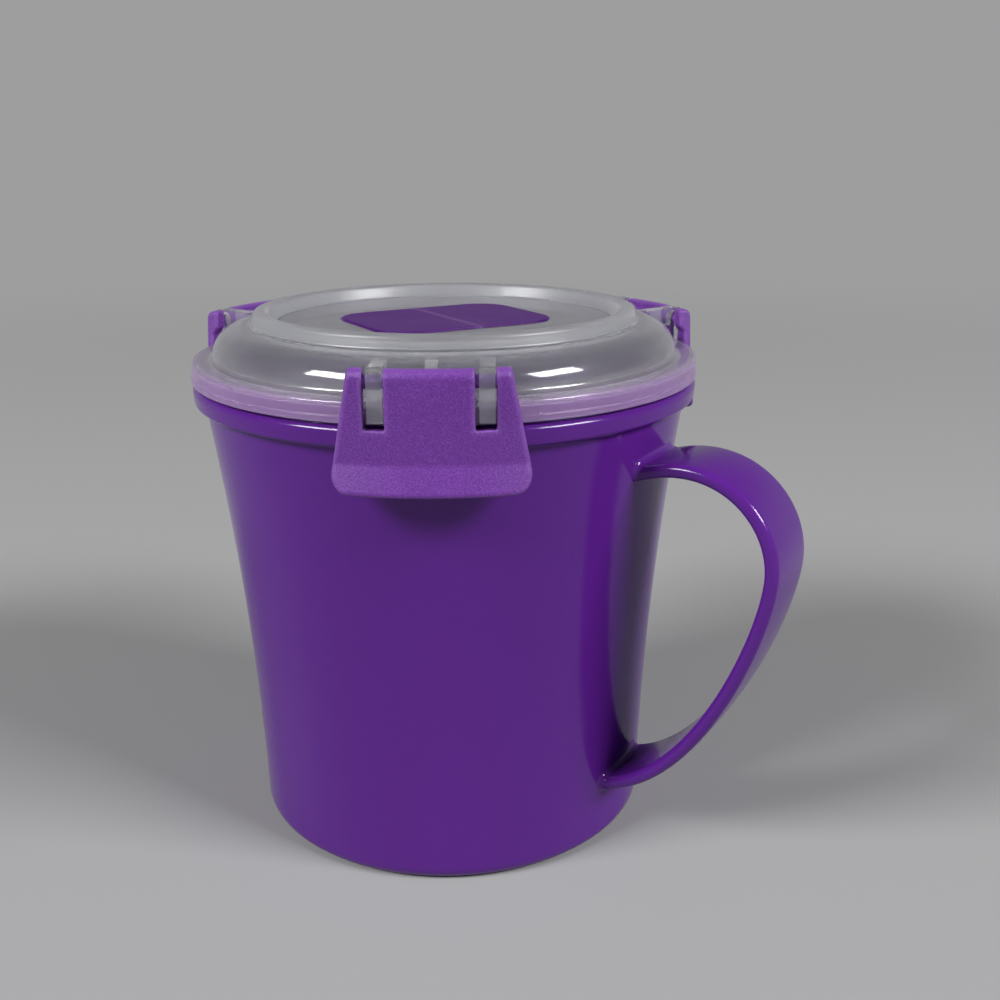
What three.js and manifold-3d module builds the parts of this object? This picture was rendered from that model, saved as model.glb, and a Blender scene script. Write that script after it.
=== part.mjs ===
// Microwave soup mug: a moulded cup with a strap handle, a translucent domed lid with a soft seal,
// a steam vent with a lifting flap, and three locking clips hinged on the lid.
// Millimetres, +Z up. The origin is the centre of the underside and the handle points along +X.

import * as THREE from 'three';
import { mergeVertices } from 'three/addons/utils/BufferGeometryUtils.js';
import Module from 'manifold-3d';

const wasm = await Module();
wasm.setup();

// Cup
const baseRadius = 48.8;
const baseEdgeRadius = 3;
const baseThickness = 2.6;
const insideCornerRadius = 5;
const wallHeight = 105.6; // from the underside to the flange
const wallThickness = 2.2;
const wallSpread = 1.3; // the part of the wall's widening that is even; the rest is a curve
const flangeRadius = 60;
const flangeOverhang = 2.7; // beyond the wall under it
const flangeHeight = 4.5;
const flangeTaper = 0.4; // how much smaller the flange is at its lower edge

// Handle, a strap whose centre line is two curves in the XZ plane
const strapWidth = 20.3;
const strapThickness = 3.4;
const strapEdgeRadius = 1.2;
const upperRootDrop = 11.8; // below the flange
const upperRootSlope = 21.4; // degrees above level where the strap leaves the wall
const upperRootPull = 19.9; // how far the strap keeps that direction
const fingerRoom = 37.6; // from the foot of the wall to the furthest centre line
const bendDrop = 30.2; // the furthest point below the flange
const bendPullUp = 13.3;
const bendPullDown = 12.5;
const lowerRootHeight = 15.6;
const lowerRootSlope = 11.2;
const lowerRootPull = 23.9;
const strapSteps = 18; // pieces that each of the two curves is drawn in

// Lid
const lidThickness = 1.8;
const skirtThickness = 1.5;
const skirtHeight = 4.8;
const skirtEdge = 0.5;
const roofThickness = 1.2; // of the channel over the cup's rim
const plugThickness = 1.5;
const plugDepth = 2.1; // below the top of the flange
const plugClearance = 1.2;
const sealLedgeReach = 0.9;
const sealLedgeHeight = 0.7;
const sealLedgeRise = 2.2; // underside of the ledge above the foot of the plug
const sealEdge = 0.4;
const domeFootInset = 4.9; // from the flange's radius to the foot of the dome
const domeHeight = 7.6;
const domeSpan = 9.3; // from the foot of the dome in to the ring
const domeLean = 0.5; // how far the dome's wall leans in while it rises
const domeWallRise = 5.7; // how far the dome keeps the direction of its wall
const domeTopRun = 5.6; // how far the dome keeps level before the ring
const ringWidth = 5.4;
const ringTopWidth = 3.8;
const ringHeight = 3.2;
const ringTopRound = 1.1;
const ringHollowWidth = 1.7;

// Steam vent in the lid's centre panel, lying towards one of the rear clips
const ventLength = 46.5;
const ventWidth = 35;
const ventCornerRadius = 5;
const ventThickness = 1;
const ventPocketDepth = 0.9;
const ventAzimuth = 60;
const creaseGap = 0.4;
const steamHoleRadius = 3.6;
const steamPlugRadius = 3;
const steamPlugDepth = 1.6;
const steamPlugOffset = 12; // from the crease

// Locking clips and their hinge lugs
const clipNames = ['clip_front', 'clip_back_right', 'clip_back_left']; // evenly spaced around the lid
const firstClipAzimuth = -60;
const clipTopWidth = 31.6;
const clipBottomWidth = 39.6;
const clipThickness = 2.4;
const clipStandoff = 1.6; // from the flange to the inside of the clip
const clipLean = 0.8; // how much nearer the axis the clip's faces are at the lip than at the hinge
const clipTopRise = 2.8; // above the hinge
const barrelStandoff = 0.4; // from the flange's radius to the inside of the clip at its hinge
const clipLength = 25.6;
const clipTopRound = 2;
const clipCornerRadius = 4.2;
const catchHeight = 1.2;
const catchSlope = 1.3;
const catchDrop = 0.4; // below the flange
const lipHeight = 6.6;
const lipFlare = 1.8;
const slotWidth = 4.7;
const slotOffset = 10.8;
const slotDepth = 12.1;
const hingeOut = 0.3; // beyond the flange's radius
const hingeRise = 4.5; // above the skirt's top
const pinRadius = 1.4;
const pinLength = 28.4;
const lugWidth = 3.5;
const lugThickness = 1.1;
const lugDrop = 7.8;
const stopRibWidth = 2.4;
const stopRibReach = 0.9; // out of the foot of the dome

// Clearances between pieces
const fitGap = 0.3;
const seatGap = 0.35;

// How finely round shapes are drawn
const turnSegments = 48;
const arcSegments = 4;
const bevelSegments = 2;
const pinSegments = 16;
const holeSegments = 24;
const curveSegments = 7;
const wallSteps = 9;
const clipSteps = 8;
const weldTolerance = 1e-4;

// Heights and radii that follow from the sizes above
const degrees = Math.PI / 180;
const clipAzimuths = clipNames.map((_, i) => firstClipAzimuth + (i * 360) / clipNames.length);
const mouthRadius = flangeRadius - flangeOverhang; // outside of the wall under the flange
const flangeTop = wallHeight + flangeHeight;
const skirtBottom = flangeTop + seatGap;
const skirtTop = skirtBottom + skirtHeight;
const channelRoof = skirtTop - roofThickness;
const rimTop = channelRoof - seatGap;
const skirtInside = flangeRadius - skirtThickness;
const rimOutside = skirtInside - fitGap;
const wallCurve = mouthRadius - baseRadius - wallSpread;
const wallRadius = (height) => {
  const share = height / wallHeight;
  return baseRadius + wallSpread * share + wallCurve * share ** 2;
};
const insideRadius = (height) => wallRadius(height) - wallThickness;
const plugBottom = flangeTop - plugDepth;
const plugRadius = insideRadius(plugBottom) - plugClearance;
const ledgeTop = plugBottom + sealLedgeRise + sealLedgeHeight;
const domeFoot = flangeRadius - domeFootInset;
const ringOuter = domeFoot - domeSpan;
const ringInner = ringOuter - ringWidth;
const domeTop = skirtTop + domeHeight;
const panelTop = domeTop; // the centre panel is level with the ring's outer foot
const panelUnderside = panelTop - lidThickness;
const ringTop = domeTop + ringHeight;
const hingeRadius = flangeRadius + hingeOut;
const hingeHeight = skirtTop + hingeRise;
const clipInside = flangeRadius + clipStandoff;
const clipOutside = clipInside + clipThickness;
const clipTop = hingeHeight + clipTopRise;
const clipBottom = clipTop - clipLength;

// Solids: geometry in, joined or cut, geometry out

function toSolid(geometry) {
  const bare = geometry.clone();
  bare.deleteAttribute('normal');
  bare.deleteAttribute('uv');
  const welded = mergeVertices(bare, weldTolerance);
  const corners = welded.index.array;
  const triangles = [];
  for (let i = 0; i < corners.length; i += 3) {
    const [a, b, c] = corners.slice(i, i + 3);
    if (a !== b && b !== c && c !== a) triangles.push(a, b, c);
  }
  return new wasm.Manifold(new wasm.Mesh({
    numProp: 3,
    vertProperties: Float32Array.from(welded.attributes.position.array),
    triVerts: Uint32Array.from(triangles),
  }));
}

function toGeometry(solid) {
  const { vertProperties, triVerts } = solid.getMesh();
  const geometry = new THREE.BufferGeometry();
  geometry.setAttribute('position', new THREE.BufferAttribute(vertProperties, 3));
  geometry.setIndex(new THREE.BufferAttribute(triVerts, 1));
  geometry.computeVertexNormals();
  return geometry;
}

// A profile of [radius, height] points turned about the Z axis
function turned(profile) {
  const points = profile.map(([radius, height]) => new THREE.Vector2(radius, height));
  return new THREE.LatheGeometry(points, turnSegments).rotateX(Math.PI / 2);
}

// A shape drawn in [x, z] and extruded along Y, centred on the given y
function plate(shape, width, y = 0, options = {}) {
  const settings = { depth: width, bevelEnabled: false, curveSegments: arcSegments, ...options };
  return new THREE.ExtrudeGeometry(shape, settings).rotateX(Math.PI / 2).translate(0, y + width / 2, 0);
}

function curvePoints(curve, count) {
  return curve.getPoints(count).map((point) => [point.x, point.y]);
}

function bezier(start, startPull, endPull, end) {
  return new THREE.CubicBezierCurve(...[start, startPull, endPull, end].map((p) => new THREE.Vector2(...p)));
}

// Points on a circle between two directions given in degrees
function arc(centre, radius, from, to) {
  return Array.from({ length: arcSegments + 1 }, (_, i) => {
    const angle = (from + ((to - from) * i) / arcSegments) * degrees;
    return [centre[0] + radius * Math.cos(angle), centre[1] + radius * Math.sin(angle)];
  });
}

function outline(points) {
  return new THREE.Shape(points.map(([x, y]) => new THREE.Vector2(x, y)));
}

function roundedRectangle(length, width, radius) {
  const x = length / 2 - radius;
  const y = width / 2 - radius;
  return outline([
    ...arc([x, y], radius, 0, 90),
    ...arc([-x, y], radius, 90, 180),
    ...arc([-x, -y], radius, 180, 270),
    ...arc([x, -y], radius, 270, 360),
  ]);
}

// Cup with its handle in one moulding

function wallProfile(radiusAt, bottom, top) {
  return Array.from({ length: wallSteps + 1 }, (_, i) => {
    const height = bottom + ((top - bottom) * i) / wallSteps;
    return [radiusAt(height), height];
  });
}

function cupOutside() {
  const edgeCentre = [wallRadius(baseEdgeRadius) - baseEdgeRadius, baseEdgeRadius];
  return turned([
    [0, 0],
    ...arc(edgeCentre, baseEdgeRadius, -90, 0),
    ...wallProfile(wallRadius, baseEdgeRadius, wallHeight).slice(1),
    [flangeRadius - flangeTaper, wallHeight],
    [flangeRadius, flangeTop],
    [rimOutside, flangeTop],
    [rimOutside, rimTop],
    [0, rimTop],
  ]);
}

function cupInside() {
  const cornerTop = baseThickness + insideCornerRadius;
  const cornerCentre = [insideRadius(cornerTop) - insideCornerRadius, cornerTop];
  const above = rimTop + wallThickness;
  return turned([
    [0, baseThickness],
    ...arc(cornerCentre, insideCornerRadius, -90, 0),
    ...wallProfile(insideRadius, cornerTop, above).slice(1),
    [0, above],
  ]);
}

function strapCentreLine() {
  const upperHeight = wallHeight - upperRootDrop;
  const upper = [wallRadius(upperHeight) - wallThickness / 2, upperHeight];
  const lower = [wallRadius(lowerRootHeight) - wallThickness / 2, lowerRootHeight];
  const bend = [baseRadius + fingerRoom, wallHeight - bendDrop];
  const pull = (point, slope, length) => [
    point[0] + length * Math.cos(slope * degrees),
    point[1] + length * Math.sin(slope * degrees),
  ];
  const upperHalf = bezier(upper, pull(upper, upperRootSlope, upperRootPull), [bend[0], bend[1] + bendPullUp], bend);
  const lowerHalf = bezier(bend, [bend[0], bend[1] - bendPullDown], pull(lower, lowerRootSlope, lowerRootPull), lower);
  return [upperHalf, lowerHalf];
}

function handleStrap() {
  const half = strapThickness / 2 - strapEdgeRadius;
  const outer = [];
  const inner = [];
  strapCentreLine().forEach((curve, part) => {
    for (let i = part; i <= strapSteps; i += 1) {
      const point = curve.getPoint(i / strapSteps);
      const along = curve.getTangent(i / strapSteps);
      outer.push([point.x - along.y * half, point.y + along.x * half]);
      inner.unshift([point.x + along.y * half, point.y - along.x * half]);
    }
  });
  const bevel = {
    bevelEnabled: true,
    bevelSize: strapEdgeRadius,
    bevelThickness: strapEdgeRadius,
    bevelSegments,
  };
  return plate(outline([...outer, ...inner]), strapWidth - 2 * strapEdgeRadius, 0, bevel);
}

function cup() {
  return toSolid(cupOutside()).add(toSolid(handleStrap())).subtract(toSolid(cupInside()));
}

// Lid

// The dome's curve from its foot up to the ring, on the outside or set in by the wall's thickness
function domeCurve(inset) {
  const foot = [domeFoot - inset, skirtTop];
  const end = [ringOuter - inset / 2, domeTop - inset];
  return bezier(foot, [foot[0] - domeLean, foot[1] + domeWallRise - inset], [end[0] + domeTopRun, end[1]], end);
}

function lidOutside() {
  const ledge = plugRadius + sealLedgeReach;
  const dome = domeCurve(0);
  const topInset = (ringWidth - ringTopWidth) / 2;
  const crest = ringTop - ringTopRound;
  return turned([
    [0, plugBottom],
    [plugRadius, plugBottom],
    [plugRadius, ledgeTop - sealLedgeHeight - sealLedgeReach],
    [ledge, ledgeTop - sealLedgeHeight],
    [ledge, ledgeTop],
    [plugRadius, ledgeTop],
    [plugRadius, channelRoof],
    [skirtInside, channelRoof],
    [skirtInside, skirtBottom],
    [flangeRadius, skirtBottom],
    ...arc([flangeRadius - skirtEdge, skirtTop - skirtEdge], skirtEdge, 0, 90),
    ...curvePoints(dome, curveSegments),
    ...arc([ringOuter - topInset - ringTopRound, crest], ringTopRound, 0, 90),
    ...arc([ringInner + topInset + ringTopRound, crest], ringTopRound, 90, 180),
    [ringInner, panelTop],
    [0, panelTop],
  ]);
}

function lidInside() {
  const ringMiddle = (ringOuter + ringInner) / 2;
  const hollow = ringHollowWidth / 2;
  const top = domeTop - lidThickness;
  const dome = domeCurve(lidThickness);
  const plugInside = plugRadius - plugThickness;
  return turned([
    [0, plugBottom - plugDepth],
    [plugInside, plugBottom - plugDepth],
    [plugInside, channelRoof],
    ...curvePoints(dome, curveSegments),
    [ringMiddle + hollow, top],
    [ringMiddle + hollow, ringTop - lidThickness],
    [ringMiddle - hollow, ringTop - lidThickness],
    [ringMiddle - hollow, panelUnderside],
    [0, panelUnderside],
  ]);
}

// Hook over the clip's pin: a rib from the dome, an arch over the pin, and a long leg in front of it
function hingeLug(side) {
  const inner = pinRadius + fitGap;
  const outer = inner + lugThickness;
  const pin = [hingeRadius, hingeHeight];
  const root = ringOuter + lidThickness;
  const ribBottom = hingeHeight - inner;
  const shape = outline([
    [hingeRadius + outer, hingeHeight - lugDrop],
    ...arc(pin, outer, 0, 90),
    [root, hingeHeight + outer],
    [root, ribBottom],
    [hingeRadius - inner, ribBottom],
    ...arc(pin, inner, 180, 0),
    [hingeRadius + inner, hingeHeight - lugDrop],
  ]);
  return plate(shape, lugWidth, side * slotOffset);
}

// Short rib behind the middle of each clip
function stopRib() {
  const root = ringOuter + lidThickness;
  const shape = outline([
    [root, skirtTop + domeHeight / 2],
    [domeFoot + stopRibReach, skirtTop + domeHeight / 2],
    [domeFoot + stopRibReach, domeTop - lidThickness],
    [domeFoot - stopRibReach, domeTop],
    [root, domeTop],
  ]);
  return plate(shape, stopRibWidth);
}

function ventPocket() {
  const shape = roundedRectangle(ventLength + 2 * fitGap, ventWidth + 2 * fitGap, ventCornerRadius + fitGap);
  const settings = { depth: ringHeight, bevelEnabled: false };
  const pocket = new THREE.ExtrudeGeometry(shape, settings).translate(0, 0, panelTop - ventPocketDepth);
  return pocket.rotateZ(ventAzimuth * degrees);
}

// Upright cylinder on the flap's side of the crease
function ventCylinder(radius, bottom, top) {
  const upright = new THREE.CylinderGeometry(radius, radius, top - bottom, holeSegments).rotateX(Math.PI / 2);
  return upright.translate(-steamPlugOffset, 0, (bottom + top) / 2);
}

function lid() {
  let solid = toSolid(lidOutside());
  for (const azimuth of clipAzimuths) {
    for (const rib of [hingeLug(-1), hingeLug(1), stopRib()]) {
      solid = solid.add(toSolid(rib.rotateZ(azimuth * degrees)));
    }
  }
  const steamHole = ventCylinder(steamHoleRadius, panelUnderside - lidThickness, panelTop);
  return solid
    .subtract(toSolid(lidInside()))
    .subtract(toSolid(ventPocket()))
    .subtract(toSolid(steamHole.rotateZ(ventAzimuth * degrees)));
}

// Soft ring on the lid's plug, held between the ledge and the channel's roof
function seal() {
  const inner = plugRadius + fitGap / 2;
  const bottom = ledgeTop + fitGap / 2;
  const top = channelRoof - fitGap / 2;
  const outer = insideRadius(bottom) - fitGap;
  return toSolid(turned([
    [inner, bottom],
    [outer - sealEdge, bottom],
    [outer, bottom + sealEdge],
    [outer, top - sealEdge],
    [outer - sealEdge, top],
    [inner, top],
    [inner, bottom],
  ]));
}

// Steam vent: one half stays in the lid, the other lifts on the crease between them

function ventHalf(side) {
  const bottom = panelTop - ventPocketDepth + fitGap;
  const radius = ventCornerRadius;
  const x = ventLength / 2 - radius;
  const y = ventWidth / 2 - radius;
  const shape = outline([
    ...arc([x, y], radius, 90, 0),
    ...arc([x, -y], radius, 0, -90),
    [creaseGap / 2, -ventWidth / 2],
    [creaseGap / 2, ventWidth / 2],
  ]);
  const half = new THREE.ExtrudeGeometry(shape, { depth: ventThickness, bevelEnabled: false });
  return half.translate(0, 0, bottom).rotateZ(side > 0 ? 0 : Math.PI);
}

function ventFlap() {
  const bottom = panelTop - ventPocketDepth + fitGap;
  const plug = ventCylinder(steamPlugRadius, bottom - steamPlugDepth, bottom + ventThickness / 2);
  return toSolid(ventHalf(-1)).add(toSolid(plug));
}

// Locking clip, drawn at azimuth 0 with x out from the cup's axis

function clipSection() {
  const barrelInside = flangeRadius + barrelStandoff;
  const catchTop = wallHeight - catchDrop;
  const catchReach = flangeRadius + fitGap;
  const lipTop = clipBottom + lipHeight;
  const tip = clipThickness / 2;
  const leanTop = hingeHeight - pinRadius - clipStandoff;
  const insideAt = (height) => clipInside - (clipLean * (leanTop - height)) / (leanTop - lipTop);
  const catchFoot = catchTop - catchHeight - catchSlope;
  const lipRoot = clipOutside - clipLean;
  return outline([
    ...arc([lipRoot + lipFlare - tip, clipBottom + tip], tip, -180, 0),
    [lipRoot, lipTop],
    ...arc([clipOutside - clipTopRound, clipTop - clipTopRound], clipTopRound, 0, 90),
    [barrelInside + fitGap, clipTop],
    [barrelInside, clipTop - fitGap],
    [barrelInside, hingeHeight - pinRadius],
    [clipInside, leanTop],
    [insideAt(catchTop + catchSlope), catchTop + catchSlope],
    [catchReach, catchTop],
    [catchReach, catchTop - catchHeight],
    [insideAt(catchFoot), catchFoot],
  ]);
}

// Front view in [y, z]: tapered sides, round lower corners and a slot for each lug
function clipOutline() {
  const top = clipTopWidth / 2;
  const bottom = clipBottomWidth / 2;
  const slotFloor = clipTop - slotDepth;
  const slot = (side) => [-1, 1].flatMap((edge) => {
    const y = side * slotOffset + (edge * slotWidth) / 2;
    const ends = [[y, clipTop], [y, slotFloor]];
    return edge > 0 ? ends.reverse() : ends;
  });
  const corner = clipCornerRadius;
  return outline([
    ...arc([-bottom + corner, clipBottom + corner], corner, 180, 270),
    ...arc([bottom - corner, clipBottom + corner], corner, 270, 360),
    [top, clipTop],
    ...slot(1).reverse(),
    ...slot(-1).reverse(),
    [-top, clipTop],
  ]);
}

// Bends a flat strip around the cup, so that its width lies along an arc
function bendAroundCup(geometry, radius) {
  const place = geometry.attributes.position;
  for (let i = 0; i < place.count; i += 1) {
    const angle = place.getY(i) / radius;
    place.setXY(i, place.getX(i) * Math.cos(angle), place.getX(i) * Math.sin(angle));
  }
  return geometry;
}

function clip() {
  const spread = clipBottomWidth + 2 * clipCornerRadius;
  const strip = bendAroundCup(plate(clipSection(), spread, 0, { steps: clipSteps }), clipOutside);
  const reach = 2 * (clipOutside + lipFlare);
  const front = new THREE.ExtrudeGeometry(clipOutline(), { depth: reach, bevelEnabled: false });
  front.applyMatrix4(new THREE.Matrix4().makeBasis(
    new THREE.Vector3(0, 1, 0),
    new THREE.Vector3(0, 0, 1),
    new THREE.Vector3(1, 0, 0),
  ));
  const pin = new THREE.CylinderGeometry(pinRadius, pinRadius, pinLength, pinSegments);
  pin.translate(hingeRadius, 0, hingeHeight);
  return toSolid(strip).intersect(toSolid(front)).add(toSolid(pin));
}

// Materials and assembly

const purpleGloss = () => new THREE.MeshStandardMaterial({ color: 0x58268a, roughness: 0.35, metalness: 0 });
const purpleGrain = () => new THREE.MeshStandardMaterial({ color: 0x663391, roughness: 0.6, metalness: 0 });
const clearPlastic = () => new THREE.MeshStandardMaterial({
  color: 0xd4d6da,
  roughness: 0.3,
  metalness: 0,
  transparent: true,
  opacity: 0.45,
});
const softRubber = () => new THREE.MeshStandardMaterial({ color: 0xe6e4e0, roughness: 0.7, metalness: 0 });

function piece(name, solid, material) {
  const mesh = new THREE.Mesh(toGeometry(solid), material);
  mesh.name = name;
  return mesh;
}

const mug = new THREE.Group();
mug.add(piece('mug_body', cup(), purpleGloss()));
mug.add(piece('lid_shell', lid(), clearPlastic()));
mug.add(piece('lid_seal', seal(), softRubber()));

const vent = new THREE.Group();
vent.rotation.z = ventAzimuth * degrees;
vent.add(piece('vent_plate', toSolid(ventHalf(1)), purpleGloss()));
vent.add(piece('vent_flap', ventFlap(), purpleGloss()));
mug.add(vent);

clipNames.forEach((name, i) => {
  const mesh = piece(name, clip(), purpleGrain());
  mesh.rotation.z = clipAzimuths[i] * degrees;
  mug.add(mesh);
});

export default mug;
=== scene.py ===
import bmesh
import bpy
import numpy as np
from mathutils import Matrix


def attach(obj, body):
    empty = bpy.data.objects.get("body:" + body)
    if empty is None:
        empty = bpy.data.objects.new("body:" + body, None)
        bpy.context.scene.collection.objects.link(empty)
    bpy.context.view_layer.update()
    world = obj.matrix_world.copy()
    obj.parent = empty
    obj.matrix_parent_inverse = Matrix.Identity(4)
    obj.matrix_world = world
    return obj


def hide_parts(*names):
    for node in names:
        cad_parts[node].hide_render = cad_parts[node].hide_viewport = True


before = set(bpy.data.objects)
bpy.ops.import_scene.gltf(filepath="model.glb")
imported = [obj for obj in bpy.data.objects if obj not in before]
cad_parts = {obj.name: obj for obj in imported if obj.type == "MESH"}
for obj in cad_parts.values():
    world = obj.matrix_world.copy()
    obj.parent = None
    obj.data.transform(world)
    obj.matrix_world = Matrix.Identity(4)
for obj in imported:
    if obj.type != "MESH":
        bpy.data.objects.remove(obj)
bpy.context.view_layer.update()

import openvdb
from mathutils import Matrix, Vector

# Microwave mug: purple cup with a strap handle, hazy clear lid, steam vent and three locking clips.
# Every shape is worked out in millimetres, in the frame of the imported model.

mm = 0.001
mergeDistance = 2e-6  # metres
plasticIor = 1.49


# Mesh helpers

def gridFaces(rows, columns, wrapRows=False):  # quads of a grid whose columns close on themselves
    r, c = np.meshgrid(np.arange(rows if wrapRows else rows - 1), np.arange(columns), indexing="ij")
    below, right = (r + 1) % rows, (c + 1) % columns
    corners = [r * columns + c, r * columns + right, below * columns + right, below * columns + c]
    return np.stack(corners, -1).reshape(-1, 4)


def capFaces(rows, columns):  # one face over the first ring of a grid and one over the last
    last = (rows - 1) * columns
    return [list(range(columns)), list(range(last, last + columns))]


def makePiece(name, parts):  # parts are (points in mm, faces); doubles are merged and faces turned outwards
    points, faces, count = [], [], 0
    for partPoints, partFaces in parts:
        flat = np.asarray(partPoints, float).reshape(-1, 3)
        points.append(flat)
        faces += [[int(i) + count for i in face] for face in partFaces]
        count += len(flat)
    mesh = bpy.data.meshes.new(name)
    mesh.from_pydata((np.concatenate(points) * mm).tolist(), [], faces)
    work = bmesh.new()
    work.from_mesh(mesh)
    bmesh.ops.remove_doubles(work, verts=work.verts, dist=mergeDistance)
    bmesh.ops.recalc_face_normals(work, faces=work.faces)
    work.to_mesh(mesh)
    work.free()
    mesh.shade_smooth()
    piece = bpy.data.objects.new(name, mesh)
    bpy.context.scene.collection.objects.link(piece)
    return piece


def joinSolids(piece, tool, operation):  # exact boolean, applied to the mesh; the tool is deleted
    step = piece.modifiers.new(operation, "BOOLEAN")
    step.object, step.operation, step.solver = tool, operation, "EXACT"
    graph = bpy.context.evaluated_depsgraph_get()
    done = bpy.data.meshes.new_from_object(piece.evaluated_get(graph))
    piece.modifiers.clear()
    old, piece.data = piece.data, done
    bpy.data.meshes.remove(old)
    bpy.data.objects.remove(tool)


def settleNormals(piece, crease=40):  # smooth shading by face size; edges over crease degrees are sharp
    piece.data.shade_smooth()
    piece.data.set_sharp_from_angle(angle=np.radians(crease))
    piece.modifiers.new("normals", "WEIGHTED_NORMAL").keep_sharp = True


def fitPiece(piece, body, node, material):  # its finish, and where it belongs in the model
    piece.data.materials.clear()
    piece.data.materials.append(material)
    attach(piece, body)
    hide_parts(node)


def turnAbout(points, azimuth):  # points turned about the mug's axis, in degrees
    c, s = np.cos(np.radians(azimuth)), np.sin(np.radians(azimuth))
    return np.asarray(points) @ np.array([[c, s, 0], [-s, c, 0], [0, 0, 1]])


# Outline helpers: points in a plane

def bezier(p0, p1, p2, p3, count):  # cubic curve, end points included
    t = np.linspace(0, 1, count)[:, None]
    return ((1 - t) ** 3 * np.array(p0) + 3 * t * (1 - t) ** 2 * np.array(p1)
            + 3 * t ** 2 * (1 - t) * np.array(p2) + t ** 3 * np.array(p3))


def arc(centre, radius, start, end, count):  # circle between two directions in degrees
    angle = np.radians(np.linspace(start, end, count))
    return np.array(centre) + radius * np.stack([np.cos(angle), np.sin(angle)], -1)


def softened(corners, closed, steps=5):  # each corner is (x, y, radius): a fillet of that radius replaces it
    nearlyStraight = np.pi / 2 - 0.01
    pts = np.array([c[:2] for c in corners], float)
    out = []
    for i, radius in enumerate(c[2] for c in corners):
        here = pts[i]
        if radius == 0 or (not closed and i in (0, len(corners) - 1)):
            out.append(here[None])
            continue
        before, after = pts[i - 1] - here, pts[(i + 1) % len(pts)] - here
        before, after = before / np.linalg.norm(before), after / np.linalg.norm(after)
        half = np.arccos(np.clip(before @ after, -1, 1)) / 2
        if half > nearlyStraight:
            out.append(here[None])
            continue
        middle = here + (before + after) / np.linalg.norm(before + after) * radius / np.sin(half)
        reach = radius / np.tan(half)
        a, b = here + before * reach - middle, here + after * reach - middle
        turn = np.pi - 2 * half
        t = np.linspace(0, 1, steps + 1)[:, None]
        out.append(middle + (np.sin((1 - t) * turn) * a + np.sin(t * turn) * b) / np.sin(turn))
    return np.concatenate(out)


def divided(points, step, closed=False):  # long straight runs cut into pieces no longer than step
    ends = np.roll(points, -1, 0) if closed else points[1:]
    out = []
    for a, b in zip(points, ends):
        count = max(1, int(np.ceil(np.linalg.norm(b - a) / step)))
        out.append(a + (b - a) * np.linspace(0, 1, count, endpoint=False)[:, None])
    return np.concatenate(out if closed else out + [points[-1:]])


def outwardNormals(points):  # of a closed anticlockwise outline
    along = np.roll(points, -1, 0) - np.roll(points, 1, 0)
    along /= np.linalg.norm(along, axis=1)[:, None]
    return np.stack([along[:, 1], -along[:, 0]], -1)


def turned(profile, columns, closed=False):  # a profile of radius and height carried round the mug's axis
    angle = np.linspace(0, 2 * np.pi, columns, endpoint=False)
    r, z = profile[:, :1], np.repeat(profile[:, 1:], columns, 1)
    points = np.stack([r * np.cos(angle), r * np.sin(angle), z], -1)
    return points, gridFaces(len(profile), columns, closed)


def roundedPlate(outline, low, high, edge, steps=4, plain=0):
    # a flat outline carried up through its thickness, drawn in by a quarter circle at both rims,
    # apart from its last plain points, which keep a square edge
    inward = -outwardNormals(outline)
    inward[len(inward) - plain:] = 0
    a = np.linspace(0, np.pi / 2, steps + 1)
    inset = np.concatenate([edge * (1 - np.sin(a)), edge * (1 - np.cos(a))])
    height = np.concatenate([low + edge * (1 - np.cos(a)), high - edge * (1 - np.sin(a))])
    flat = outline[None] + inward[None] * inset[:, None, None]
    level = np.repeat(height[:, None, None], len(outline), 1)
    grid = np.concatenate([flat, level], -1)
    return grid, list(gridFaces(len(inset), len(outline))) + capFaces(len(inset), len(outline))


# Shader helpers

class Wire:  # one node output; arithmetic on it adds Math nodes
    def __init__(self, finish, socket):
        self.finish, self.socket = finish, socket

    def math(self, operation, first, second):
        return self.finish.add("ShaderNodeMath", {"operation": operation}, {0: first, 1: second})

    def __add__(self, other):
        return self.math("ADD", self, other)

    def __radd__(self, other):
        return self.math("ADD", other, self)

    def __sub__(self, other):
        return self.math("SUBTRACT", self, other)

    def __rsub__(self, other):
        return self.math("SUBTRACT", other, self)

    def __mul__(self, other):
        return self.math("MULTIPLY", self, other)

    def __rmul__(self, other):
        return self.math("MULTIPLY", other, self)

    def __abs__(self):
        return self.finish.add("ShaderNodeMath", {"operation": "ABSOLUTE"}, {0: self})


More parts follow.
